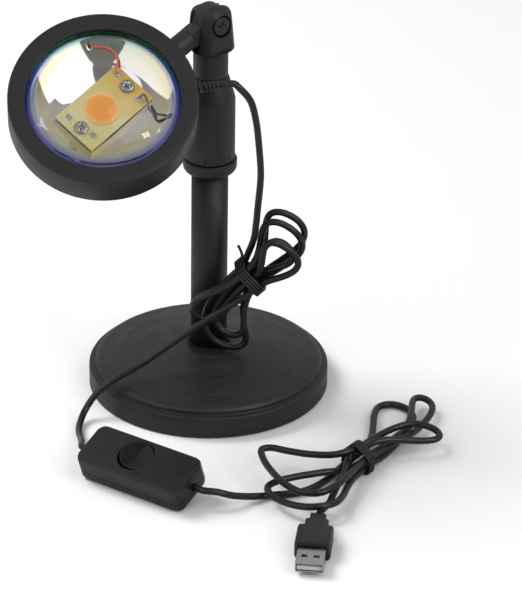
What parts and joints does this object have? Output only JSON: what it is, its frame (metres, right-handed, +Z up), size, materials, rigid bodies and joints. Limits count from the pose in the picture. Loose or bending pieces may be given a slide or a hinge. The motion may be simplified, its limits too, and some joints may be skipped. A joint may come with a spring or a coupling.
{
  "type": "desk lamp",
  "caption": "Table lamp that throws a coloured disc of light: round head on a tilting arm, turning column, weighted round base, lead with rocker switch and plug.",
  "frame": {"origin": "centre of the base's underside, on the table", "axes": "+Z up along the column, -Y towards the viewer of the picture, +X to the viewer's right"},
  "size_m": [0.1929, 0.2264, 0.1886],
  "materials": {
    "painted_black": "satin black coat",
    "cover_black": "satin moulded black",
    "gloss_black": "smooth black",
    "foam": "foam",
    "steel": "plain",
    "nylon": "natural",
    "aluminium": "plain",
    "mirror": "polished",
    "lens": "clear with a colour film",
    "board": "coated",
    "phosphor": "cast",
    "cord_black": "satin",
    "red_wire": "satin",
    "black_wire": "satin",
    "brass": "plain",
    "plug_white": "plain"
  },
  "bodies": {
    "stand": {"lower_tube": "painted_black", "collar_ring": "painted_black", "base_cover": "cover_black", "plug_overmould": "cover_black", "switch_lower": "gloss_black", "switch_upper": "gloss_black", "base_pad": "foam", "base_weight": "steel", "base_washer": "steel", "base_screw": "steel", "swivel_core": "steel", "swivel_washer": "steel", "swivel_screw": "steel", "rocker_pin": "steel", "switch_screw_1": "steel", "switch_screw_2": "steel", "usb_shell": "steel", "foot_plug": "nylon", "cord_drop": "cord_black", "hank_upper": "cord_black", "hank_upper_tie": "cord_black", "cord_to_switch": "cord_black", "cord_from_switch": "cord_black", "hank_lower": "cord_black", "hank_lower_tie": "cord_black", "cord_to_plug": "cord_black", "switch_contact_1": "brass", "switch_contact_2": "brass", "usb_tongue": "plug_white"},
    "turret": {"upper_sleeve": "painted_black", "sleeve_bush": "nylon", "knuckle_nut": "steel", "knuckle": "painted_black", "hinge_screw": "steel", "hinge_washer": "steel", "hinge_nut": "steel"},
    "arm": {"arm": "painted_black", "arm_nut": "steel"},
    "head": {"head_shell": "gloss_black", "back_cover": "cover_black", "back_screw_1": "steel", "back_screw_2": "steel", "back_screw_3": "steel", "arm_washer": "steel", "heat_sink": "aluminium", "reflector": "mirror", "led_board": "board", "led_phosphor": "phosphor", "led_screw_1": "steel", "led_screw_2": "steel", "red_wire": "red_wire", "black_wire": "black_wire", "lens_dome": "lens", "cord_boot": "cord_black"},
    "rocker": {"switch_rocker": "gloss_black"}
  },
  "joints": [
    {"name": "column_swivel", "type": "hinge", "parent": "stand", "child": "turret", "pos_m": [0, 0, 0.1143], "axis": [0, 0, 1], "range_deg": [-90, 90]},
    {"name": "head_tilt", "type": "hinge", "parent": "turret", "child": "arm", "pos_m": [0, 0, 0.1802], "axis": [-0.6083, 0.7937, 0], "range_deg": [-8, 90], "deforming": ["cord_drop"]},
    {"name": "head_twist", "type": "hinge", "parent": "arm", "child": "head", "pos_m": [0, 0, 0.1802], "axis": [-0.7262, -0.5567, -0.4034], "range_deg": [-35, 60]},
    {"name": "switch_rocker", "type": "hinge", "parent": "stand", "child": "rocker", "pos_m": [-0.03069, -0.09744, 0.01329], "axis": [0.5322, 0.7744, 0.342], "range_deg": [-22, 0]}
  ]
}
